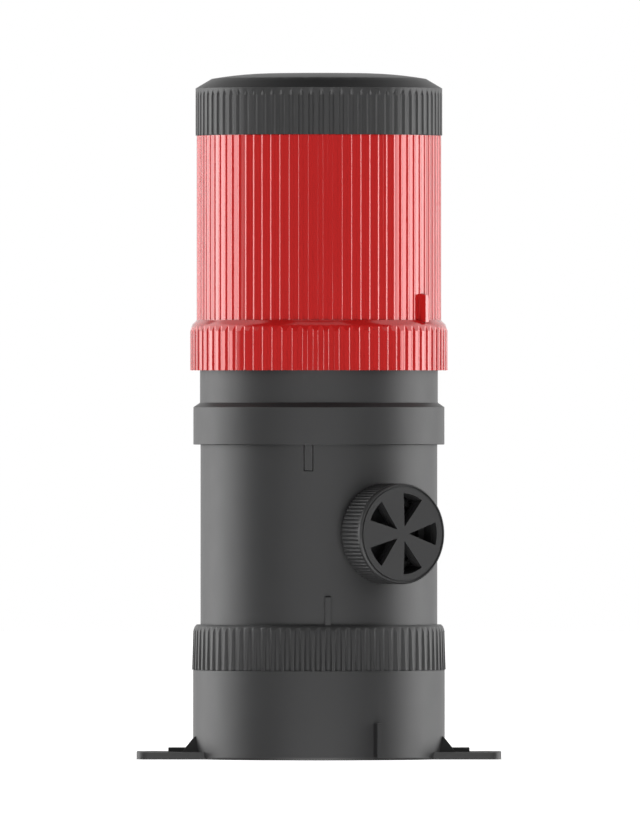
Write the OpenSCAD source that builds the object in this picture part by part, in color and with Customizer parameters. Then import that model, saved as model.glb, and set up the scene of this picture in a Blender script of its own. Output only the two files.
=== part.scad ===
/* [Tower] */
// Diameter of the sounder housing, which every other diameter follows
housing_d = 64.5; // [63:0.5:70]
// Wall of the moulded housings
wall = 2.25; // [2:0.05:2.5]
// Height of the base barrel
base_h = 24.2; // [22:0.1:32]
// Height of the knurled skirt under the sounder housing
house_skirt_h = 12.4; // [12:0.1:15]
// Height of the plain sounder housing between skirt and collar
body_h = 49; // [46:0.2:60]
// Height of the collar on top of the sounder housing
collar_h = 11.4; // [9:0.1:15]
// Height of the bare neck between collar and lens
neck_gap = 8.8; // [6:0.1:14]
// Height of the knurled skirt under the lens
lens_skirt_h = 13.7; // [13.4:0.1:16]
// Height of the ridged lens between skirt and cap
lens_h = 50.2; // [46:0.2:80]
// Height of the knurled flank of the cap
cap_flank_h = 12.9; // [12:0.1:16]
// Height of the sloping edge of the cap
cap_edge_h = 2.6; // [2:0.1:3.2]
// Rise of the domed top of the cap
cap_dome_h = 1.5; // [1:0.1:3]
// Radius of the flat middle of the dome
cap_flat_r = 12; // [8:0.5:16]

/* [Steps in diameter] */
// Step from the housing out to the neck
neck_step = 0.15; // [0.1:0.05:0.3]
// Step from the housing out to the base barrel
base_step = 2.05; // [1.8:0.05:2.4]
// Step from the housing out to the collar
collar_step = 1.95; // [1.8:0.05:2.4]
// Step from the housing out to the bottom edge of its skirt
house_skirt_step = 2.3; // [2.2:0.05:2.8]
// Step from the housing out to the ridges of the lens
lens_step = 1.06; // [1:0.02:1.3]
// Step from the housing out to the skirt of the lens
lens_skirt_step = 2.8; // [2.6:0.05:3.2]
// Step from the housing out to the flank of the cap
cap_step = 1.35; // [1.25:0.05:1.6]
// Width of the sloping edge of the cap
cap_edge_w = 4.4; // [3:0.1:5]

/* [Knurls and ridges] */
// Grooves round each knurled skirt and ridges round the lens
flute_n = 78; // [60:1:80]
// Depth of a knurl groove where its skirt stands upright
flute_depth = 0.4; // [0.3:0.05:0.45]
// Radius of the tool that cuts a knurl groove
flute_r = 1.1; // [0.9:0.05:1.2]
// Height of a lens ridge
ridge_h = 0.25; // [0.15:0.05:0.35]
// Radius of the round crest of a lens ridge
ridge_r = 1.1; // [0.9:0.05:1.2]

/* [Foot] */
// Length over both mounting ears
foot_span = 99.2; // [98:0.2:120]
// Width of the mounting ears
foot_w = 28.6; // [26:0.2:36]
// Thickness of the mounting ears
foot_t = 2; // [1.8:0.1:4]
// Corner radius of the mounting ears
foot_corner_r = 3.6; // [2:0.1:4]
// Distance of a mounting hole from the end of its ear
foot_hole_inset = 4.6; // [4.4:0.1:5.4]
// Diameter of a mounting hole
foot_hole_d = 4.6; // [4:0.1:5.2]
// Diameter of the cable hole in the grommet
cable_d = 9; // [6:0.2:10]

/* [Index ribs] */
// Direction of the rib on the base, from the front
base_rib_az = 26.9; // [20:0.1:40]
// Direction of the rib on the sounder housing, from the front
house_rib_az = 4.25; // [-10:0.05:10]
// Direction of the rib on the lens, from the front
lens_rib_az = 57.05; // [40:0.05:70]
// Direction of the collar tongue, from the front
tongue_az = -5; // [-15:0.1:2]
// Width of an index rib
rib_w = 1.5; // [1.2:0.1:2.4]
// Width of the collar tongue
tongue_w = 2.2; // [2:0.1:4]
// Length of the collar tongue
tongue_h = 7; // [5.5:0.1:8]

/* [Bayonets] */
// Lugs round each bayonet
lug_n = 3; // [2:1:4]
// Arc that a lug covers
lug_arc = 14; // [10:1:15]
// Turn that frees a bayonet
bayonet_twist = 23; // [18:1:26]
// Height of a lug
lug_h = 2.4; // [2:0.1:2.6]
// How far a lug stands out of its spigot
lug_proud = 0.9; // [0.7:0.05:0.95]

/* [Volume knob] */
// Direction of the knob, from the front
knob_az = 32.5; // [25:0.1:60]
// Diameter of the knob
knob_d = 27.3; // [25:0.1:28.5]
// How far the knob face stands out from the housing
knob_proud = 10; // [9:0.1:11]
// Grooves round the knob
knob_flute_n = 80; // [60:1:84]
// Depth of a knob groove
knob_flute_depth = 0.3; // [0.2:0.05:0.35]
// Sound slots in the knob and in the baffle behind it
slot_n = 5; // [4:1:5]
// Radius where a slot begins
slot_in_r = 2.05; // [2:0.05:3]
// Half of the angle between the sides of a slot
slot_half = 20; // [16:0.5:21]

/* [Light] */
// Faces of the lamp column
column_n = 6; // [5:1:8]
// Width over the flats of the lamp column
column_af = 22; // [20:0.5:25]
// Lamps up each face of the column
led_rows = 4; // [2:1:5]

/* [Hidden] */
$fn = 96;
full_turn = 360;
front = -90;
eps = 0.4;
joint_gap = 0.1;
run_gap = 0.3;
lug_gap = 0.2;
lug_gap_arc = 0.8;
seat_gap = 0.2;
fit_gap = 0.05;
free_gap = 0.3;

housing_r = housing_d / 2;
body_in_r = housing_r - wall;
neck_r = housing_r + neck_step;
neck_in_r = neck_r - wall;
collar_r = housing_r + collar_step;
base_r = housing_r + base_step;
barrel_in_r = base_r - wall;
house_skirt_r = housing_r + house_skirt_step;
lens_r = housing_r + lens_step;
lens_in_r = lens_r - ridge_h - wall;
lens_skirt_r = housing_r + lens_skirt_step;
cap_r = housing_r + cap_step;
spigot_wall = 1.9;
base_spigot_inset = 0.35;
base_spigot_r = housing_r - base_spigot_inset;
base_spigot_in_r = base_spigot_r - spigot_wall;
cap_spigot_inset = 0.8;
cap_spigot_r = housing_r - cap_spigot_inset;
cap_spigot_in_r = cap_spigot_r - spigot_wall;

z_base_top = base_h;
z_house_bot = z_base_top + joint_gap;
z_skirt_top = z_base_top + house_skirt_h;
z_body_top = z_skirt_top + body_h;
z_collar_top = z_body_top + collar_h;
z_lens_bot = z_collar_top + neck_gap;
z_ring_top = z_lens_bot + lens_skirt_h;
z_lens_top = z_ring_top + lens_h;
z_cap_bot = z_lens_top + joint_gap;
z_flank_top = z_lens_top + cap_flank_h;
z_cap_edge = z_flank_top + cap_edge_h;
z_top = z_cap_edge + cap_dome_h;

spigot_h = 10.3;
lug_z = 4.6;
seal_r = 0.6;
seal_groove_h = 1.4;
seal_groove_d = 1.05;
seal_z = 8.7;
entry_drop = 1;

rim_h = 0.8;
rim_in = 0.45;
floor_t = 4;
recess_d = 1.5;
recess_r = 9.4;
inlet_r = 7;
grommet_flange_r = 9;
grommet_flange_t = 1.4;
cable_r = cable_d / 2;
foot_hole_x = foot_span / 2 - foot_hole_inset;
pad_rise = 1.1;
pad_w = 13;
pad_clear_r = 4;
gusset_y = 6.8;
gusset_top_z = 6.2;
gusset_root_w = 6.4;
gusset_tip_w = 1;
gusset_root_x = 2.9;
gusset_tip_in = 0.5;
base_rib_proud = 2.3;
base_rib_top = 10;
house_rib_in = 0.6;
house_rib_h = 8.2;
house_rib_proud = 0.9;
lens_rib_h = 7.3;
lens_rib_drop = 0.6;
rib_slope = 0.6;
tongue_proud = 0.12;
tongue_gap = 0.2;

deck_drop = 2.2;
deck_t = 2.4;
board_t = 1.6;
z_base_deck = z_base_top - deck_drop;
base_board_r = base_spigot_in_r - free_gap;
post_n = 3;
post_edge = 3.7;
post_at_r = base_board_r - post_edge;
post_r = 2.9;
post_az = 60;
screw_r = 1.25;
screw_head_r = 2.3;
screw_head_h = 1.6;
screw_l = 8;
web_t = 1.8;
z_web_bot = z_base_top + spigot_h + seat_gap;
z_board_bot = z_web_bot + web_t;
z_board_top = z_board_bot + board_t;
board_r = body_in_r - free_gap;
board_screw_edge = 3.3;
board_screw_r = board_r - board_screw_edge;
web_reach = 3.2;
web_in_r = board_screw_r - web_reach;
board_boss_r = 2.4;
board_boss_h = 2.6;
board_screw_l = 5.6;
board_screw_az = 60;

contact_n = 6;
contact_az = 30;
track_t = 0.3;
track_w = 3.6;
track_edge = 1.4;
contact_r = web_in_r - track_edge - track_w / 2;
track_spare = 6;
contact_gap = 0.2;
finger_w = 3.2;
finger_t = 0.5;
finger_half = 3;
finger_crest = 1;
finger_drop = 1.5;
finger_lip = 0.45;
rod_r = 1;
rod_hole_r = 1.1;

pole_n = 6;
block_w = 11;
block_h = 8.5;
block_end = 0.6;
block_clear = 2.8;
block_l = 2 * (contact_r - finger_w / 2 - block_clear);
pole_pitch = (block_l - 2 * block_end) / pole_n;
clamp_w = 3.4;
clamp_h = 4;
clamp_l = 8;
clamp_z = 1.2;
clamp_fit = 0.1;
wire_hole_r = 1.2;
wire_hole_z = 1.7;
pole_screw_r = 0.8;
pole_head_r = 1.7;
pole_head_h = 1.6;
pole_well_r = 1.85;
slot_w = 0.6;
slot_d = 0.6;

knob_r = knob_d / 2;
knob_share = 0.507;
z_knob = z_skirt_top + body_h * knob_share;
knob_face_n = housing_r + knob_proud;
knob_lift = 0.5;
knob_back_n = housing_r + knob_lift;
tube_depth = 9.25;
tube_back_n = housing_r - tube_depth;
tube_lip_t = 1;
tube_lip_in = 1.6;
knob_skirt_t = 1.25;
knob_in_r = knob_r - knob_skirt_t;
tube_r = knob_in_r - run_gap;
tube_t = 1;
tube_in_r = tube_r - tube_t;
tube_step = 0.4;
tube_root_n = sqrt(housing_r * housing_r - tube_r * tube_r) - eps;
knob_plate_t = 2.25;
knob_rim_w = 0.5;
knob_line_w = 0.5;
knob_line_d = 0.4;
knob_edge = 0.35;
knob_band = 1.5;
knob_flute_r = 0.6;
slot_edge = 0.1;
slot_out_r = tube_in_r - slot_edge;
knob_plate_n = knob_face_n - knob_plate_t;
baffle_n = knob_plate_n - free_gap;
baffle_t = 1.4;
baffle_skirt = 3.8;
baffle_skirt_t = 0.85;
spindle_r = 1.5;
spindle_l = 3.6;
clip_groove_r = 1.1;
clip_t = 0.5;
clip_r = 2.6;
clip_arc = 290;
gasket_t = 1.5;
gasket_in_r = 9;
sounder_back_n = tube_back_n + tube_lip_t;
gasket_n = baffle_n - baffle_skirt - gasket_t;
port_r = 2;
port_d = 3;
lead_r = 0.6;
lead_x = 3;
lead_bend_r = 1.6;
lead_l = 2.2;

plug_h = 6;
plug_t = 2.2;
plug_gap = 0.15;
collar_edge_h = 1.2;
z_coupler_deck = z_lens_bot - deck_drop;
neck_top = z_lens_bot + spigot_h;

carrier_t = 1.8;
z_carrier_bot = neck_top + seat_gap;
z_carrier_top = z_carrier_bot + carrier_t;
lens_skirt_in_r = neck_r + run_gap;
carrier_r = lens_skirt_in_r - free_gap;
z_light_deck = z_lens_top - deck_drop;
light_deck_r = lens_in_r - free_gap;
column_bore_r = 8;
led_board_w = 9;
led_board_t = 1;
led_board_margin = 3;
led_w = 3;
led_t = 0.9;
ridge_sunk = 0.15;
ridge_steps = 3;
ridge_half_turn = acos((ridge_r - ridge_h - ridge_sunk) / ridge_r);
ring_land = 0.1;
ring_edge_start = 0.25;
ring_edge_start_drop = 0.3;
ring_edge_mid_in = 0.55;
ring_edge_mid_drop = 1.15;
ring_edge_low_in = 0.3;
ring_edge_low_drop = 2;
ring_edge_drop = 3;

skirt_edge_start = 1.05;
skirt_edge_high = 1.5;
skirt_edge_high_drop = 0.45;
skirt_edge_mid = 1.8;
skirt_edge_mid_drop = 1.15;
skirt_edge_end = 2;
skirt_edge_drop = 2;
dome_steps = 6;
cap_flute_drop = 2.2;
cap_flute_point = 4.4;
cap_inner_rise = 1;
cap_inner_r = cap_r - cap_edge_w - wall;
cap_inner_wall_h = spigot_h + eps;

base_knurl_az = -0.35;
lens_knurl_az = 0.86;
lens_ridge_az = 0.75;
cap_knurl_az = 1.07;

chip_size = [10, 8, 2];
cap_part_r = 4;
cap_part_h = 11;
cap_part_at = [-9, 7];
coil_r = 4.5;
coil_h = 7;
coil_at = [9, 7];
coil_flange_t = 1.2;
coil_core_r = 3.4;

// Places a shape once for each step round the tower axis
module round_axis(count, az) {
  for (i = [0 : count - 1])
    rotate([0, 0, front + az + i * full_turn / count])
      children();
}

// Turns a shape drawn toward the front to a direction round the tower
module facing(az) {
  rotate([0, 0, az])
    children();
}

// Places a shape on the knob axis, with z outward
module on_knob() {
  facing(knob_az)
    translate([0, 0, z_knob])
      rotate([90, 0, 0])
        children();
}

// Ring between two radii and two heights
module ring(r_in, r_out, z0, z1) {
  rotate_extrude()
    translate([r_in, z0])
      square([r_out - r_in, z1 - z0]);
}

// Part of a ring, centred on the direction of the x axis
module ring_arc(r_in, r_out, z0, z1, arc) {
  rotate([0, 0, -arc / 2])
    rotate_extrude(angle = arc)
      translate([r_in, z0])
        square([r_out - r_in, z1 - z0]);
}

// Tools for knurl grooves, each with a long point where the groove runs out
module knurl_tools(count, az, floor_r, z_bot, z_top, tool_r, point) {
  round_axis(count, az)
    translate([floor_r + tool_r, 0, 0])
      rotate_extrude()
        polygon([[0, z_bot - eps], [tool_r, z_bot - eps], [tool_r, z_top], [0, z_top + point]]);
}

// Lugs of a bayonet on a spigot that starts at height z
module lugs(r, z) {
  round_axis(lug_n, 0)
    ring_arc(r - eps, r + lug_proud, z + lug_z, z + lug_z + lug_h, lug_arc);
}

// Channels and narrower entries that the lugs run in, cut in the skirt over a spigot
module lug_ways(r, z) {
  way_r = r + lug_proud + lug_gap;
  way_arc = lug_arc + 2 * lug_gap_arc;
  z_low = z + lug_z - lug_gap;
  z_high = z + lug_z + lug_h + lug_gap;
  round_axis(lug_n, -bayonet_twist / 2)
    ring_arc(r, way_r, z_low, z_high, way_arc + bayonet_twist);
  round_axis(lug_n, -bayonet_twist)
    ring_arc(r - eps, way_r - fit_gap, z - entry_drop, (z_low + z_high) / 2, way_arc - lug_gap_arc);
}

// Ring seal in the groove near the top of a spigot
module seal(r, z) {
  rotate_extrude()
    translate([r - seal_groove_d + fit_gap + seal_r, z + seal_z])
      circle(r = seal_r);
}

// Groove for a ring seal
module seal_groove(r, z) {
  z_mid = z + seal_z;
  ring(r - seal_groove_d, r + eps, z_mid - seal_groove_h / 2, z_mid + seal_groove_h / 2);
}

// Upright index rib toward the front, its top sloping outward
module index_rib(az, r_in, r_out, z0, z1, slope) {
  facing(az)
    translate([-rib_w / 2, 0, 0])
      rotate([90, 0, 90])
        linear_extrude(rib_w)
          polygon([[-r_in, z0], [-r_out, z0], [-r_out, z1 - slope], [-r_in, z1]]);
}

// Spring contact that stands on a deck and reaches up to a track
module finger(h) {
  rotate([90, 0, 90])
    translate([0, 0, -finger_w / 2])
      linear_extrude(finger_w)
        polygon([[-finger_half, 0], [finger_half, 0], [finger_half, h - finger_drop],
          [finger_crest, h], [-finger_crest, h], [-finger_half, h - finger_drop],
          [-finger_half + finger_lip, h - finger_drop - finger_lip],
          [-finger_crest, h - finger_t], [finger_crest, h - finger_t],
          [finger_half - finger_t, h - finger_drop - finger_lip],
          [finger_half - finger_t, finger_t], [-finger_half, finger_t]]);
}

// The ring of spring contacts on a deck
module fingers(z, h) {
  round_axis(contact_n, contact_az)
    translate([contact_r, 0, z])
      finger(h);
}

// The ring of tracks that the spring contacts slide on
module tracks(z_top) {
  arc = bayonet_twist + 2 * track_spare;
  round_axis(contact_n, contact_az - bayonet_twist / 2)
    ring_arc(contact_r - track_w / 2, contact_r + track_w / 2, z_top - track_t, z_top, arc);
}

// The ring of rods, or with a larger radius the holes for them
module rods(z0, z1, r) {
  round_axis(contact_n, contact_az)
    translate([contact_r, 0, z0])
      cylinder(r = r, h = z1 - z0);
}

// Screw with its head down on height zero, pointing down
module screw(l) {
  difference() {
    union() {
      cylinder(r = screw_head_r, h = screw_head_h);
      translate([0, 0, -l])
        cylinder(r = screw_r, h = l + eps);
    }
    translate([-screw_head_r, -slot_w / 2, screw_head_h - slot_d])
      cube([2 * screw_head_r, slot_w, screw_head_h]);
  }
}

// Sound slots as wedges round the knob axis
module sound_slots(z0, z1) {
  reach = slot_out_r - slot_in_r;
  for (i = [0 : slot_n - 1])
    rotate([0, 0, i * full_turn / slot_n])
      translate([0, 0, z0])
        intersection() {
          cylinder(r = slot_out_r, h = z1 - z0);
          linear_extrude(z1 - z0)
            polygon([[slot_in_r, 0], [slot_out_r, -reach * tan(slot_half)],
              [2 * slot_out_r, 0], [slot_out_r, reach * tan(slot_half)]]);
        }
}

// Outline of the mounting ears with round corners
module foot_outline() {
  x = foot_span / 2 - foot_corner_r;
  y = foot_w / 2 - foot_corner_r;
  square([2 * x, foot_w], center = true);
  square([foot_span, 2 * y], center = true);
  for (sx = [-1, 1], sy = [-1, 1])
    translate([sx * x, sy * y])
      circle(r = foot_corner_r);
}

// Raised pad and two gussets where an ear meets the barrel
module ear_root() {
  pad_end = foot_hole_x - pad_clear_r;
  root_x = base_r + gusset_root_x;
  tip_x = base_r - gusset_tip_in;
  in_x = base_r - wall;
  translate([in_x, -pad_w / 2, 0])
    cube([pad_end - in_x, pad_w, foot_t + pad_rise]);
  for (s = [-1, 1])
    translate([0, s * gusset_y, 0])
      intersection() {
        rotate([90, 0, 0])
          translate([0, 0, -gusset_root_w])
            linear_extrude(2 * gusset_root_w)
              polygon([[in_x, 0], [root_x, 0], [root_x, foot_t], [tip_x, gusset_top_z],
                [in_x, gusset_top_z]]);
        rotate([90, 0, 90])
          linear_extrude(foot_span)
            polygon([[-gusset_root_w / 2, 0], [gusset_root_w / 2, 0],
              [gusset_root_w / 2, foot_t], [gusset_tip_w / 2, gusset_top_z],
              [-gusset_tip_w / 2, gusset_top_z], [-gusset_root_w / 2, foot_t]]);
      }
}

module base_housing() {
  spigot_top = z_base_top + spigot_h;
  color("dimgray")
    difference() {
      union() {
        rotate_extrude()
          polygon([[0, 0], [base_r - rim_in, 0], [base_r, rim_h], [base_r, z_base_top],
            [base_spigot_r, z_base_top], [base_spigot_r, spigot_top], [0, spigot_top]]);
        linear_extrude(foot_t)
          foot_outline();
        for (turn = [0, 1])
          rotate([0, 0, turn * full_turn / 2])
            ear_root();
        lugs(base_spigot_r, z_base_top);
        index_rib(base_rib_az, base_r - wall, base_r + base_rib_proud, rim_h, base_rib_top, 0);
      }
      difference() {
        translate([0, 0, floor_t])
          cylinder(r = barrel_in_r, h = z_base_top - wall - floor_t);
        round_axis(post_n, post_az)
          translate([post_at_r, 0, 0])
            cylinder(r = post_r, h = z_base_deck - board_t);
      }
      translate([0, 0, z_base_deck - board_t])
        cylinder(r = base_spigot_in_r, h = spigot_h + z_base_top);
      seal_groove(base_spigot_r, z_base_top);
      translate([0, 0, -eps])
        cylinder(r = inlet_r, h = floor_t + 2 * eps);
      translate([0, 0, -eps])
        cylinder(r = recess_r, h = recess_d + eps);
      for (s = [-1, 1])
        translate([s * foot_hole_x, 0, -eps])
          cylinder(d = foot_hole_d, h = foot_t + 2 * eps);
      round_axis(post_n, post_az)
        translate([post_at_r, 0, z_base_deck - board_t - screw_l])
          cylinder(r = screw_r + fit_gap, h = screw_l + eps);
    }
}

module cable_grommet() {
  web_top = floor_t + grommet_flange_t;
  color("black")
    rotate_extrude()
      polygon([[cable_r, recess_d - grommet_flange_t], [grommet_flange_r, recess_d - grommet_flange_t],
        [grommet_flange_r, recess_d], [inlet_r - fit_gap, recess_d], [inlet_r - fit_gap, floor_t],
        [grommet_flange_r, floor_t], [grommet_flange_r, web_top], [cable_r, web_top]]);
}

module base_board() {
  color("darkgreen")
    difference() {
      translate([0, 0, z_base_deck - board_t])
        cylinder(r = base_board_r, h = board_t);
      round_axis(post_n, post_az)
        translate([post_at_r, 0, 0])
          cylinder(r = screw_r + lug_gap, h = z_base_top);
    }
}

module base_board_screws() {
  color("silver")
    round_axis(post_n, post_az)
      translate([post_at_r, 0, z_base_deck])
        screw(screw_l);
}

// Places a shape once for each terminal pole
module poles() {
  for (i = [0 : pole_n - 1])
    translate([(i - (pole_n - 1) / 2) * pole_pitch, 0, z_base_deck])
      children();
}

module terminal_block() {
  color("seagreen")
    difference() {
      translate([-block_l / 2, -block_w / 2, z_base_deck])
        cube([block_l, block_w, block_h]);
      poles() {
        translate([-clamp_w / 2 - clamp_fit, -block_w / 2 - eps, clamp_z])
          cube([clamp_w + 2 * clamp_fit, clamp_l + eps, clamp_h + clamp_fit]);
        translate([0, 0, clamp_z + clamp_h])
          cylinder(r = pole_well_r, h = block_h);
      }
    }
}

module terminal_clamps() {
  color("goldenrod")
    poles()
      difference() {
        translate([-clamp_w / 2, clamp_fit - block_w / 2, clamp_z])
          cube([clamp_w, clamp_l - 2 * clamp_fit, clamp_h]);
        translate([0, 0, clamp_z + wire_hole_z])
          rotate([90, 0, 0])
            cylinder(r = wire_hole_r, h = block_w, center = true);
        translate([0, 0, clamp_z + wire_hole_z])
          cylinder(r = pole_screw_r + fit_gap, h = clamp_h);
      }
}

module terminal_screws() {
  color("silver")
    poles()
      translate([0, 0, clamp_z + clamp_h])
        difference() {
          union() {
            cylinder(r = pole_head_r, h = pole_head_h);
            translate([0, 0, -wire_hole_r])
              cylinder(r = pole_screw_r, h = wire_hole_r + eps);
          }
          translate([-pole_head_r, -slot_w / 2, pole_head_h - slot_d])
            cube([2 * pole_head_r, slot_w, pole_head_h]);
        }
}

module base_contacts() {
  color("gold")
    fingers(z_base_deck, z_board_bot - track_t - contact_gap - z_base_deck);
}

module base_seal() {
  color("black")
    seal(base_spigot_r, z_base_top);
}

module sounder_housing() {
  skirt_in_r = base_spigot_r + run_gap;
  color("dimgray") {
    difference() {
      rotate_extrude()
        polygon([[0, z_house_bot], [house_skirt_r, z_house_bot],
          [housing_r + skirt_edge_end, z_skirt_top - skirt_edge_drop],
          [housing_r + skirt_edge_mid, z_skirt_top - skirt_edge_mid_drop],
          [housing_r + skirt_edge_high, z_skirt_top - skirt_edge_high_drop],
          [housing_r + skirt_edge_start, z_skirt_top], [housing_r, z_skirt_top],
          [housing_r, z_body_top], [0, z_body_top]]);
      knurl_tools(flute_n, base_knurl_az, housing_r + skirt_edge_end - flute_depth, z_house_bot,
        z_skirt_top, flute_r, flute_r);
      translate([0, 0, z_house_bot - eps])
        cylinder(r = skirt_in_r, h = z_web_bot - z_house_bot + eps);
      lug_ways(base_spigot_r, z_base_top);
      difference() {
        translate([0, 0, z_board_bot])
          cylinder(r = body_in_r, h = z_body_top);
        on_knob()
          translate([0, 0, tube_back_n])
            cylinder(r = tube_r + tube_step, h = housing_r);
      }
      translate([0, 0, z_web_bot - eps])
        cylinder(r = web_in_r, h = web_t + 2 * eps);
      on_knob() {
        translate([0, 0, sounder_back_n])
          cylinder(r = tube_in_r, h = housing_r);
        translate([0, 0, tube_back_n - eps])
          cylinder(r = tube_in_r - tube_lip_in, h = housing_r);
      }
      facing(tongue_az)
        translate([-tongue_w / 2 - tongue_gap, -housing_r - wall, z_body_top - tongue_h - tongue_gap])
          cube([tongue_w + 2 * tongue_gap, 2 * wall, tongue_h + wall]);
      sounder_screw_holes();
    }
    on_knob()
      difference() {
        translate([0, 0, tube_root_n])
          cylinder(r = tube_r, h = baffle_n - tube_root_n);
        translate([0, 0, tube_back_n])
          cylinder(r = tube_in_r, h = housing_r);
      }
    difference() {
      round_axis(post_n, board_screw_az + knob_az)
        translate([board_screw_r, 0, z_web_bot - board_boss_h])
          cylinder(r = board_boss_r, h = board_boss_h + eps);
      sounder_screw_holes();
    }
    index_rib(house_rib_az, housing_r - eps, housing_r + house_rib_proud, z_skirt_top - eps,
      z_skirt_top + house_rib_h, rib_slope);
  }
}

// Holes for the screws of the sounder board
module sounder_screw_holes() {
  round_axis(post_n, board_screw_az + knob_az)
    translate([board_screw_r, 0, z_board_bot - board_screw_l])
      cylinder(r = screw_r + fit_gap, h = board_screw_l + eps);
}

module sounder_board() {
  color("darkgreen")
    difference() {
      translate([0, 0, z_board_bot])
        cylinder(r = board_r, h = board_t);
      round_axis(post_n, board_screw_az + knob_az)
        translate([board_screw_r, 0, z_board_bot - eps])
          cylinder(r = screw_r + lug_gap, h = board_t + 2 * eps);
    }
}

module sounder_board_screws() {
  color("silver")
    round_axis(post_n, board_screw_az + knob_az)
      translate([board_screw_r, 0, z_board_top])
        screw(board_screw_l);
}

module sounder_tracks() {
  color("gold")
    tracks(z_board_bot);
}

module driver_chip() {
  color("black")
    facing(knob_az)
      translate([-chip_size[0] / 2, -chip_size[1], z_board_top])
        cube(chip_size);
}

module storage_capacitor() {
  color("navy")
    facing(knob_az)
      translate([cap_part_at[0], cap_part_at[1], z_board_top])
        cylinder(r = cap_part_r, h = cap_part_h);
}

module boost_coil() {
  color("saddlebrown")
    facing(knob_az)
      translate([coil_at[0], coil_at[1], z_board_top]) {
        cylinder(r = coil_r, h = coil_flange_t);
        cylinder(r = coil_core_r, h = coil_h);
        translate([0, 0, coil_h - coil_flange_t])
          cylinder(r = coil_r, h = coil_flange_t);
      }
}

module bus_rods() {
  color("goldenrod")
    rods(z_board_top, z_coupler_deck, rod_r);
}

module sounder_capsule() {
  color("black")
    on_knob()
      difference() {
        translate([0, 0, sounder_back_n])
          cylinder(r = tube_in_r - fit_gap, h = gasket_n - sounder_back_n);
        translate([0, 0, gasket_n - port_d])
          cylinder(r = port_r, h = port_d + eps);
      }
}

module sounder_gasket() {
  color("gray")
    on_knob()
      ring(gasket_in_r, tube_in_r - fit_gap, gasket_n, gasket_n + gasket_t);
}

module sounder_leads() {
  drop_z = tube_back_n - lead_l - lead_bend_r;
  color("red")
    on_knob()
      for (s = [-1, 1])
        translate([s * lead_x, 0, 0]) {
          translate([0, 0, tube_back_n - lead_l])
            cylinder(r = lead_r, h = lead_l + tube_lip_t);
          translate([0, -lead_bend_r, tube_back_n - lead_l])
            rotate([0, 90, 0])
              rotate_extrude(angle = 90)
                translate([lead_bend_r, 0])
                  circle(r = lead_r);
          translate([0, -lead_bend_r, drop_z])
            rotate([90, 0, 0])
              cylinder(r = lead_r, h = z_knob - lead_bend_r - z_board_top);
        }
}

module baffle_plate() {
  color("dimgray")
    on_knob()
      difference() {
        translate([0, 0, baffle_n - baffle_skirt])
          cylinder(r = tube_in_r - fit_gap, h = baffle_skirt);
        translate([0, 0, baffle_n - baffle_skirt - eps])
          cylinder(r = tube_in_r - baffle_skirt_t, h = baffle_skirt - baffle_t + eps);
        translate([0, 0, baffle_n - baffle_skirt])
          cylinder(r = spindle_r + fit_gap, h = baffle_skirt + eps);
        sound_slots(baffle_n - baffle_skirt, baffle_n + eps);
      }
}

module volume_knob() {
  spindle_end = knob_plate_n - spindle_l;
  clip_n = baffle_n - baffle_t - free_gap - clip_t;
  color("dimgray")
    on_knob()
      difference() {
        union() {
          rotate_extrude()
            polygon([[knob_in_r, knob_back_n], [knob_r, knob_back_n], [knob_r, knob_face_n - knob_edge],
              [knob_r - knob_edge, knob_face_n], [0, knob_face_n],
              [0, knob_plate_n], [knob_in_r, knob_plate_n]]);
          translate([0, 0, spindle_end])
            cylinder(r = spindle_r, h = spindle_l + eps);
        }
        knurl_tools(knob_flute_n, 0, knob_r - knob_flute_depth, knob_back_n, knob_face_n - knob_band,
          knob_flute_r, knob_flute_r);
        sound_slots(knob_plate_n - eps, knob_face_n + eps);
        ring(knob_r - knob_rim_w - knob_line_w, knob_r - knob_rim_w, knob_face_n - knob_line_d,
          knob_face_n + eps);
        ring(clip_groove_r, spindle_r + eps, clip_n - fit_gap, clip_n + clip_t + fit_gap);
      }
}

module knob_clip() {
  clip_n = baffle_n - baffle_t - free_gap - clip_t;
  color("silver")
    on_knob()
      ring_arc(clip_groove_r + fit_gap, clip_r, clip_n, clip_n + clip_t, clip_arc);
}

module neck_coupler() {
  plug_bot = z_body_top - plug_h;
  color("dimgray")
    difference() {
      union() {
        rotate_extrude()
          polygon([[0, z_body_top], [collar_r, z_body_top], [collar_r, z_collar_top - collar_edge_h],
            [neck_r, z_collar_top], [neck_r, neck_top], [0, neck_top]]);
        translate([0, 0, plug_bot])
          cylinder(r = body_in_r - plug_gap, h = plug_h + eps);
        facing(tongue_az)
          intersection() {
            translate([-tongue_w / 2, -collar_r, z_body_top - tongue_h])
              cube([tongue_w, collar_r - body_in_r + wall, tongue_h + eps]);
            ring(body_in_r + fit_gap, housing_r + tongue_proud, z_body_top - tongue_h, z_collar_top);
          }
        lugs(neck_r, z_lens_bot);
      }
      translate([0, 0, z_coupler_deck])
        cylinder(r = neck_in_r, h = spigot_h + neck_gap);
      translate([0, 0, plug_bot - eps])
        cylinder(r = body_in_r - plug_gap - plug_t, h = z_coupler_deck - deck_t - plug_bot + eps);
      translate([0, 0, z_body_top + wall])
        cylinder(r = neck_in_r, h = z_coupler_deck - deck_t - z_body_top - wall);
      seal_groove(neck_r, z_lens_bot);
      rods(z_coupler_deck - deck_t - eps, z_coupler_deck + eps, rod_hole_r);
    }
}

module neck_contacts() {
  color("gold")
    fingers(z_coupler_deck, z_carrier_bot - track_t - contact_gap - z_coupler_deck);
}

module neck_seal() {
  color("black")
    seal(neck_r, z_lens_bot);
}

// Ridges with round crests up the lens
module lens_ridges() {
  round_axis(flute_n, lens_ridge_az)
    translate([lens_r - ridge_r, 0, z_ring_top - eps])
      linear_extrude(lens_h + eps)
        polygon([for (i = [-ridge_steps : ridge_steps])
          ridge_r * [cos(ridge_half_turn * i / ridge_steps), sin(ridge_half_turn * i / ridge_steps)]]);
}

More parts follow.
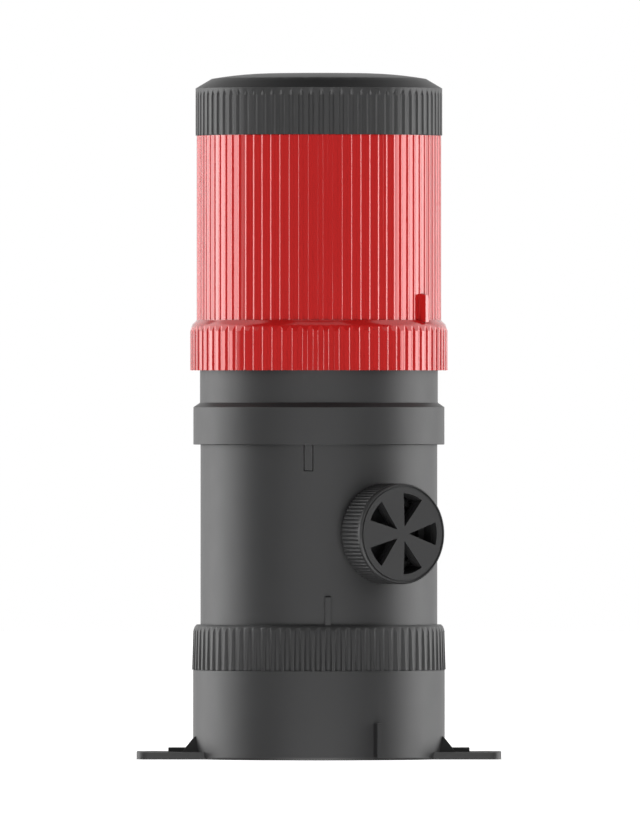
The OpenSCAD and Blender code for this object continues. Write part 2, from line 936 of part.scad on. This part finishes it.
module lens() {
  spigot_top = z_lens_top + spigot_h;
  color("red") {
    difference() {
      union() {
        rotate_extrude()
          polygon([[0, z_lens_bot], [lens_skirt_r, z_lens_bot],
            [lens_skirt_r, z_ring_top - ring_edge_drop],
            [lens_skirt_r - ring_edge_low_in, z_ring_top - ring_edge_low_drop],
            [lens_skirt_r - ring_edge_mid_in, z_ring_top - ring_edge_mid_drop],
            [lens_r + ring_edge_start, z_ring_top - ring_edge_start_drop],
            [lens_r + ring_land, z_ring_top], [lens_r - ridge_h, z_ring_top],
            [lens_r - ridge_h, z_lens_top], [0, z_lens_top]]);
        lens_ridges();
        cylinder(r = cap_spigot_r, h = spigot_top);
        lugs(cap_spigot_r, z_lens_top);
      }
      knurl_tools(flute_n, lens_knurl_az, lens_skirt_r - flute_depth, z_lens_bot,
        z_ring_top, flute_r, flute_r);
      cylinder(r = lens_skirt_in_r, h = z_carrier_top);
      lug_ways(neck_r, z_lens_bot);
      cylinder(r = lens_in_r, h = z_light_deck);
      cylinder(r = cap_spigot_in_r, h = spigot_top + eps);
      seal_groove(cap_spigot_r, z_lens_top);
    }
    index_rib(lens_rib_az, lens_r - ridge_h - eps, lens_skirt_r, z_ring_top - lens_rib_drop,
      z_ring_top + lens_rib_h, rib_slope);
  }
}

module light_carrier() {
  color("dimgray")
    difference() {
      union() {
        translate([0, 0, z_carrier_bot])
          cylinder(r = carrier_r, h = carrier_t);
        translate([0, 0, z_carrier_bot])
          rotate([0, 0, front + full_turn / (2 * column_n)])
            cylinder(r = column_af / 2 / cos(full_turn / (2 * column_n)),
              h = z_light_deck - deck_t - z_carrier_bot, $fn = column_n);
      }
      translate([0, 0, z_carrier_bot - eps])
        cylinder(r = column_bore_r, h = z_light_deck);
      rods(z_carrier_bot - eps, z_carrier_top + eps, rod_hole_r);
    }
}

module light_tracks() {
  color("gold")
    tracks(z_carrier_bot);
}

module led_boards() {
  bottom = z_carrier_top + led_board_margin;
  top = z_light_deck - deck_t - led_board_margin;
  color("white")
    round_axis(column_n, 0)
      translate([column_af / 2, -led_board_w / 2, bottom])
        cube([led_board_t, led_board_w, top - bottom]);
}

module led_lamps() {
  bottom = z_carrier_top + led_board_margin;
  step = (z_light_deck - deck_t - led_board_margin - bottom) / led_rows;
  color("gold")
    round_axis(column_n, 0)
      for (i = [0 : led_rows - 1])
        translate([column_af / 2 + led_board_t, -led_w / 2, bottom + (i + 1 / 2) * step - led_w / 2])
          cube([led_t, led_w, led_w]);
}

module light_rods() {
  color("goldenrod")
    rods(z_carrier_bot, z_light_deck, rod_r);
}

module light_deck() {
  color("dimgray")
    difference() {
      translate([0, 0, z_light_deck - deck_t])
        cylinder(r = light_deck_r, h = deck_t);
      rods(z_light_deck - deck_t - eps, z_light_deck + eps, rod_hole_r);
    }
}

module light_contacts() {
  rise = spigot_h + deck_drop - track_t - contact_gap;
  color("gold")
    fingers(z_light_deck, rise);
}

module cap() {
  skirt_in_r = cap_spigot_r + run_gap;
  edge_r = cap_r - cap_edge_w;
  z_in = z_flank_top + cap_inner_rise;
  color("dimgray")
    difference() {
      rotate_extrude()
        polygon(concat([[0, z_cap_bot], [cap_r, z_cap_bot], [cap_r, z_flank_top]],
          [for (i = [dome_steps : -1 : 0])
            [cap_flat_r + (edge_r - cap_flat_r) * i / dome_steps,
              z_top - cap_dome_h * pow(i / dome_steps, 2)]],
          [[0, z_top]]));
      knurl_tools(flute_n, cap_knurl_az, cap_r - flute_depth, z_cap_bot,
        z_flank_top - cap_flute_drop, flute_r, cap_flute_point);
      rotate_extrude()
        polygon([[0, z_cap_bot - eps], [skirt_in_r, z_cap_bot - eps],
          [skirt_in_r, z_lens_top + cap_inner_wall_h], [cap_inner_r, z_in], [0, z_in]]);
      lug_ways(cap_spigot_r, z_lens_top);
    }
}

module cap_seal() {
  color("black")
    seal(cap_spigot_r, z_lens_top);
}

base_housing();
cable_grommet();
base_board();
base_board_screws();
terminal_block();
terminal_clamps();
terminal_screws();
base_contacts();
base_seal();
sounder_housing();
sounder_board();
sounder_board_screws();
sounder_tracks();
driver_chip();
storage_capacitor();
boost_coil();
bus_rods();
sounder_capsule();
sounder_gasket();
sounder_leads();
baffle_plate();
volume_knob();
knob_clip();
neck_coupler();
neck_contacts();
neck_seal();
lens();
light_carrier();
light_tracks();
led_boards();
led_lamps();
light_rods();
light_deck();
light_contacts();
cap();
cap_seal();
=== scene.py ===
"""Looks of the signal tower light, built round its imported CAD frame."""

import math

import bpy
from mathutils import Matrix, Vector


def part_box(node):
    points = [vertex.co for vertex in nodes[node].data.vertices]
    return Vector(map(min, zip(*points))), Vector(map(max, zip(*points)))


MM = 0.001

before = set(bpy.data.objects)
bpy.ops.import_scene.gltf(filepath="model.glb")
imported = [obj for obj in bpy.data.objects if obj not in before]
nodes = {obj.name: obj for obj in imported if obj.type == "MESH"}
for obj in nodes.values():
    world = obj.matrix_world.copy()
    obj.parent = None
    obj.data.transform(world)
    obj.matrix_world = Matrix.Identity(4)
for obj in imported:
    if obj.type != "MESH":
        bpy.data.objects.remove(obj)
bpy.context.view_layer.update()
scene = bpy.context.scene
scene.view_settings.view_transform = "Standard"

# The photograph's frame, and what it shows of the tower
PHOTO_W, PHOTO_H = 640, 833
PIXEL = 0.2724 * MM
AXIS_PIXEL = 318.9
FLOOR_PIXEL = 758.8


def make_camera():
    """A long lens looking straight along +Y, level with the middle of the photograph."""
    distance = 6.8
    data = bpy.data.cameras.new("camera")
    data.sensor_width = 36.0
    data.lens = data.sensor_width * distance / (PHOTO_H * PIXEL)
    camera = bpy.data.objects.new("camera", data)
    camera.location = (
        (PHOTO_W / 2 - AXIS_PIXEL) * PIXEL,
        -distance,
        (FLOOR_PIXEL - PHOTO_H / 2) * PIXEL,
    )
    camera.rotation_euler = (math.pi / 2, 0, 0)
    scene.collection.objects.link(camera)
    scene.camera = camera


class Nodes:
    """Short calls for the nodes of one material, world or modifier."""

    def __init__(self, tree):
        self.tree = tree

    def add(self, kind, inputs=None, **settings):
        node = self.tree.nodes.new(kind)
        for key, value in settings.items():
            setattr(node, key, value)
        for key, value in (inputs or {}).items():
            self.set(node, key, value)
        return node

    def set(self, node, key, value):
        if isinstance(value, bpy.types.NodeSocket):
            self.tree.links.new(value, node.inputs[key])
        else:
            node.inputs[key].default_value = value

    def maths(self, operation, *values):
        node = self.add("ShaderNodeMath", operation=operation)
        for i, value in enumerate(values):
            self.set(node, i, value)
        return node.outputs[0]

    def noise(self, where, size, detail=2.0, roughness=0.5):
        """Noise whose features measure about size, in metres."""
        node = self.add(
            "ShaderNodeTexNoise",
            {"Vector": where, "Scale": 1 / size, "Detail": detail, "Roughness": roughness},
        )
        return node.outputs["Fac"]

    def spread(self, value, low, high, from_low=0.3, from_high=0.7):
        """The value, taken from one range to another. Noise lies mostly between 0.3 and 0.7."""
        node = self.add(
            "ShaderNodeMapRange",
            {
                "Value": value,
                "From Min": from_low,
                "From Max": from_high,
                "To Min": low,
                "To Max": high,
            },
        )
        return node.outputs[0]

    def blend(self, factor, a, b):
        """A mix of two colours: sockets 6 and 7 of the mix node."""
        node = self.add("ShaderNodeMix", {0: factor, 6: a, 7: b}, data_type="RGBA")
        return node.outputs[2]

    def bump(self, height, depth):
        """A bump of that real depth, in metres."""
        node = self.add("ShaderNodeBump", {"Height": height, "Distance": depth, "Strength": 1.0})
        return node.outputs["Normal"]


def new_material(name):
    material = bpy.data.materials.new(name)
    material.use_nodes = True
    kit = Nodes(material.node_tree)
    where = kit.add("ShaderNodeTexCoord").outputs["Object"]
    return material, kit, material.node_tree.nodes["Principled BSDF"], where


def rgba(*rgb):
    return (*rgb, 1.0)


def moulded(name, dark, light, rough, grain=0.35 * MM, depth=0.004 * MM, **sockets):
    """A moulded plastic: fine grain, slow drift of tone, and a gloss that varies a little."""
    drift_size = 18 * MM
    drift_share = 0.6
    gloss_patch = 6 * MM
    gloss_range = 0.01
    material, kit, shader, where = new_material(name)
    drift = kit.noise(where, drift_size, 3)
    speck = kit.noise(where, grain, 3, 0.6)
    slow = kit.maths("MULTIPLY", drift, drift_share)
    fine = kit.maths("MULTIPLY", speck, 1 - drift_share)
    tone = kit.spread(kit.maths("ADD", slow, fine), 0, 1)
    gloss = kit.noise(where, gloss_patch, 4)
    kit.set(shader, "Base Color", kit.blend(tone, rgba(*dark), rgba(*light)))
    kit.set(shader, "Roughness", kit.spread(gloss, rough - gloss_range, rough + gloss_range))
    kit.set(shader, "Normal", kit.bump(speck, depth))
    for key, value in sockets.items():
        kit.set(shader, key.replace("_", " "), value)
    return material


def metal(name, dark, light, rough):
    """A metal with fine drawing lines and slightly uneven colour."""
    stretch = 0.08
    line_size = 0.12 * MM
    line_depth = 0.003 * MM
    patch_size = 2.5 * MM
    gloss_range = 0.08
    material, kit, shader, where = new_material(name)
    drawn = kit.add("ShaderNodeMapping", {"Vector": where, "Scale": (1, 1, stretch)}).outputs[0]
    lines = kit.noise(drawn, line_size, 2)
    patch = kit.spread(kit.noise(where, patch_size, 3), 0, 1)
    kit.set(shader, "Base Color", kit.blend(patch, rgba(*dark), rgba(*light)))
    kit.set(shader, "Roughness", kit.spread(lines, rough - gloss_range, rough + gloss_range))
    kit.set(shader, "Normal", kit.bump(lines, line_depth))
    kit.set(shader, "Metallic", 1.0)
    return material


def board(name, mask, copper):
    """A circuit board: solder mask over tracks that show as slightly raised lines."""
    track_depth = 0.02 * MM
    gloss_patch = 2 * MM
    material, kit, shader, where = new_material(name)
    tracks = kit.add(
        "ShaderNodeTexBrick",
        {
            "Vector": where,
            "Color1": rgba(1, 1, 1),
            "Color2": rgba(1, 1, 1),
            "Mortar": rgba(0, 0, 0),
            "Scale": 1.0,
            "Mortar Size": 0.25 * MM,
            "Brick Width": 7 * MM,
            "Row Height": 1.8 * MM,
        },
    )
    line = kit.maths("SUBTRACT", 1.0, tracks.outputs["Fac"])
    kit.set(shader, "Base Color", kit.blend(line, rgba(*copper), rgba(*mask)))
    kit.set(shader, "Roughness", kit.spread(kit.noise(where, gloss_patch, 3), 0.3, 0.42))
    kit.set(shader, "Normal", kit.bump(tracks.outputs["Fac"], track_depth))
    return material


# A material for each of the frame's own: darker and lighter colour, and roughness
MATERIALS = {
    "black_plastic": moulded(
        "satin_black_plastic", (0.018, 0.018, 0.0185), (0.022, 0.022, 0.0225), 0.45
    ),
    "black_rubber": moulded("matt_black_rubber", (0.010, 0.010, 0.010), (0.016, 0.016, 0.016), 0.75),
    "green_board": board("green_circuit_board", (0.012, 0.10, 0.035), (0.03, 0.16, 0.05)),
    "green_plastic": moulded("green_terminal_plastic", (0.02, 0.17, 0.07), (0.03, 0.22, 0.09), 0.4),
    "steel": metal("zinc_plated_steel", (0.55, 0.56, 0.58), (0.68, 0.69, 0.70), 0.32),
    "brass": metal("drawn_brass", (0.62, 0.43, 0.15), (0.76, 0.56, 0.24), 0.3),
    "contact_metal": metal("plated_spring_metal", (0.78, 0.62, 0.30), (0.86, 0.72, 0.40), 0.25),
    "chip_plastic": moulded("chip_resin", (0.012, 0.012, 0.013), (0.02, 0.02, 0.021), 0.6),
    "capacitor_sleeve": moulded("capacitor_film", (0.006, 0.012, 0.06), (0.01, 0.02, 0.09), 0.25),
    "coil_wire": metal("varnished_copper", (0.45, 0.17, 0.07), (0.58, 0.25, 0.11), 0.35),
    "lead_sheath": moulded("red_lead_sheath", (0.42, 0.012, 0.012), (0.5, 0.02, 0.018), 0.45),
    "red_lens": moulded(
        "red_polycarbonate", (0.45, 0.0118, 0.0112), (0.47, 0.0132, 0.0126), 0.12,
        grain=0.8 * MM, depth=0.0001 * MM,
        IOR=1.8, Specular_Tint=rgba(1.0, 0.6, 0.6),
    ),
    "white_board": moulded("white_lamp_board", (0.72, 0.72, 0.70), (0.8, 0.8, 0.78), 0.4),
    "lamp_resin": moulded("amber_lamp_resin", (0.75, 0.5, 0.08), (0.85, 0.62, 0.14), 0.25),
}


def dress_nodes():
    for node in nodes.values():
        for slot in node.material_slots:
            slot.material = MATERIALS[slot.material.name]


WELD_GAP = 0.002 * MM

# An edge that turns by more than this, in degrees, counts as sharp
SHARP_ANGLE = 35


def weld(node):
    """Joins the vertices that faces of the mesh hold twice."""
    modifier = node.modifiers.new("weld", "WELD")
    modifier.merge_threshold = WELD_GAP


def soften(names, width):
    """Rounds the sharp edges of CAD nodes."""
    for name in names:
        weld(nodes[name])
        edges = nodes[name].modifiers.new("edges", "BEVEL")
        edges.width = width
        edges.segments = 2
        edges.limit_method = "ANGLE"
        edges.angle_limit = math.radians(SHARP_ANGLE)
        normals = nodes[name].modifiers.new("normals", "WEIGHTED_NORMAL")
        normals.keep_sharp = False


# The knurled foot of the lens, up to the tips of its flutes, where smaller turns count as sharp too
LENS_FOOT_H = 12.1 * MM
LENS_FOOT_ANGLE = 12


def shade_lens(foot_angle, angle):
    """Smooth shading of the lens that stops at edges which turn by more than these angles, in degrees."""
    group = bpy.data.node_groups.new("shade_lens", "GeometryNodeTree")
    group.interface.new_socket("Geometry", in_out="INPUT", socket_type="NodeSocketGeometry")
    group.interface.new_socket("Geometry", in_out="OUTPUT", socket_type="NodeSocketGeometry")
    kit = Nodes(group)
    start = kit.add("NodeGroupInput").outputs[0]
    place = kit.add("GeometryNodeInputPosition").outputs[0]
    height = kit.add("ShaderNodeSeparateXYZ", {0: place}).outputs[2]
    above = kit.maths("GREATER_THAN", height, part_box("lens")[0][2] + LENS_FOOT_H)
    step = math.radians(angle - foot_angle)
    limit = kit.maths("MULTIPLY_ADD", above, step, math.radians(foot_angle))
    edge = kit.add("GeometryNodeInputMeshEdgeAngle").outputs[0]
    sharp = kit.maths("GREATER_THAN", edge, limit)
    normals = kit.add(
        "GeometryNodeSetMeshNormal",
        {"Mesh": start, "Remove Custom": True, "Edge Sharpness": sharp},
        mode="SHARPNESS",
    )
    kit.set(kit.add("NodeGroupOutput"), 0, normals.outputs[0])
    weld(nodes["lens"])
    shading = nodes["lens"].modifiers.new("shading", "NODES")
    shading.node_group = group


# Light round the tower: azimuth from the front and elevation, in degrees, and brightness.
# A row marked "both" also stands mirrored on the other side. A range that runs past 0 or 180 has no
# edge there. Where rows overlap, their light adds up.
SOFTBOXES = {
    "left strip": ("left", (79, 118), (-12, 12), 2.2),
    "left strip middle": ("left", (100, 118), (-12, 12), 0.9),
    "left strip end": ("left", (118, 135), (-12, 12), 3.4),
    "left tube": ("left", (79, 118), (-5, 5), 2.9),
    "left high strip": ("left", (79, 135), (12, 35), 2.3),
    "right strip": ("right", (79, 118), (-12, 12), 2.9),
    "right tube": ("right", (79, 118), (-5, 5), 3.4),
    "right strip end": ("right", (118, 135), (-12, 12), 2.4),
    "right high strip": ("right", (79, 135), (12, 35), 2.0),
    "strip tops": ("both", (79, 135), (35, 60), 1.1),
    "low front panel": ("both", (-35, 35), (-60, -10), 3.7),
    "middle front": ("both", (-79, 79), (-10, 11), 0.15),
    "high front panel": ("both", (-32, 32), (11, 28), 0.9),
    "high front wings": ("both", (32, 79), (11, 28), 1.4),
    "top front panel": ("both", (-40, 40), (50, 70), 0.6),
    "back wall": ("both", (160, 185), (-20, 25), 1.0),
    "back wall sides": ("both", (135, 160), (-20, 25), 1.2),
    "back wall top": ("both", (135, 185), (25, 45), 0.5),
}

# Width of a softbox's soft edge, in degrees
SOFT_EDGE = 4

# Where the white background behind the tower shows in its gloss
BACKDROP = ((160, 185), (-20, 25))


def make_world():
    """White behind the tower, and round it the softboxes that light it and show in its gloss."""
    world = bpy.data.worlds.new("studio")
    scene.world = world
    world.use_nodes = True
    kit = Nodes(world.node_tree)
    where = kit.add("ShaderNodeTexCoord").outputs["Generated"]
    x, y, z = kit.add("ShaderNodeSeparateXYZ", {"Vector": where}).outputs
    azimuth = kit.maths("DEGREES", kit.maths("ARCTAN2", x, kit.maths("MULTIPLY", y, -1.0)))
    elevation = kit.maths("DEGREES", kit.maths("ARCSINE", z))
    sides = {
        "left": kit.maths("MULTIPLY", azimuth, -1.0),
        "right": azimuth,
        "both": kit.maths("ABSOLUTE", azimuth),
    }

    def between(angle, low, high):
        rise = kit.spread(angle, 0, 1, low - SOFT_EDGE / 2, low + SOFT_EDGE / 2)
        fall = kit.spread(angle, 1, 0, high - SOFT_EDGE / 2, high + SOFT_EDGE / 2)
        return kit.maths("MULTIPLY", rise, fall)

    level = 0.0
    for side, azimuths, elevations, brightness in SOFTBOXES.values():
        box = kit.maths("MULTIPLY", between(sides[side], *azimuths), between(elevation, *elevations))
        level = kit.maths("MULTIPLY_ADD", box, brightness, level)
    path = kit.add("ShaderNodeLightPath").outputs
    backdrop_azimuths, backdrop_elevations = BACKDROP
    backdrop_width = between(sides["both"], *backdrop_azimuths)
    backdrop = kit.maths("MULTIPLY", backdrop_width, between(elevation, *backdrop_elevations))
    gloss = kit.maths("MULTIPLY", path["Is Glossy Ray"], backdrop)
    direct = kit.maths("MAXIMUM", path["Is Camera Ray"], path["Is Transmission Ray"])
    seen = kit.maths("MAXIMUM", direct, gloss)
    # Sockets 2 and 3 of the mix node are its two plain values
    strength = kit.add("ShaderNodeMix", {0: seen, 2: level, 3: 1.0}).outputs[0]
    background = world.node_tree.nodes["Background"]
    kit.set(background, "Color", rgba(1, 1, 1))
    kit.set(background, "Strength", strength)


def make_floor():
    """A pale light table: light comes up through it, and its own glow hides the tower's shadow."""
    half = 4.0
    grey = 0.8
    glow_strength = 0.78
    corners = [(-half, -half, 0), (half, -half, 0), (half, half, 0), (-half, half, 0)]
    mesh = bpy.data.meshes.new("floor")
    mesh.from_pydata(corners, [], [(0, 1, 2, 3)])
    floor = bpy.data.objects.new("floor", mesh)
    scene.collection.objects.link(floor)
    floor.visible_diffuse = False
    floor.visible_glossy = False
    floor.visible_shadow = False
    material = bpy.data.materials.new("pale_floor")
    material.use_nodes = True
    tree = material.node_tree
    kit = Nodes(tree)
    tree.nodes.remove(tree.nodes["Principled BSDF"])
    matt = kit.add("ShaderNodeBsdfDiffuse", {"Color": rgba(grey, grey, grey)})
    glow = kit.add("ShaderNodeEmission", {"Color": rgba(1, 1, 1), "Strength": glow_strength})
    both = kit.add("ShaderNodeAddShader", {0: matt.outputs[0], 1: glow.outputs[0]})
    kit.set(tree.nodes["Material Output"], "Surface", both.outputs[0])
    mesh.materials.append(material)


make_camera()
dress_nodes()
soften(["base_housing", "neck_coupler", "sounder_housing", "cap", "volume_knob"], 0.15 * MM)
shade_lens(LENS_FOOT_ANGLE, SHARP_ANGLE)
make_world()
make_floor()
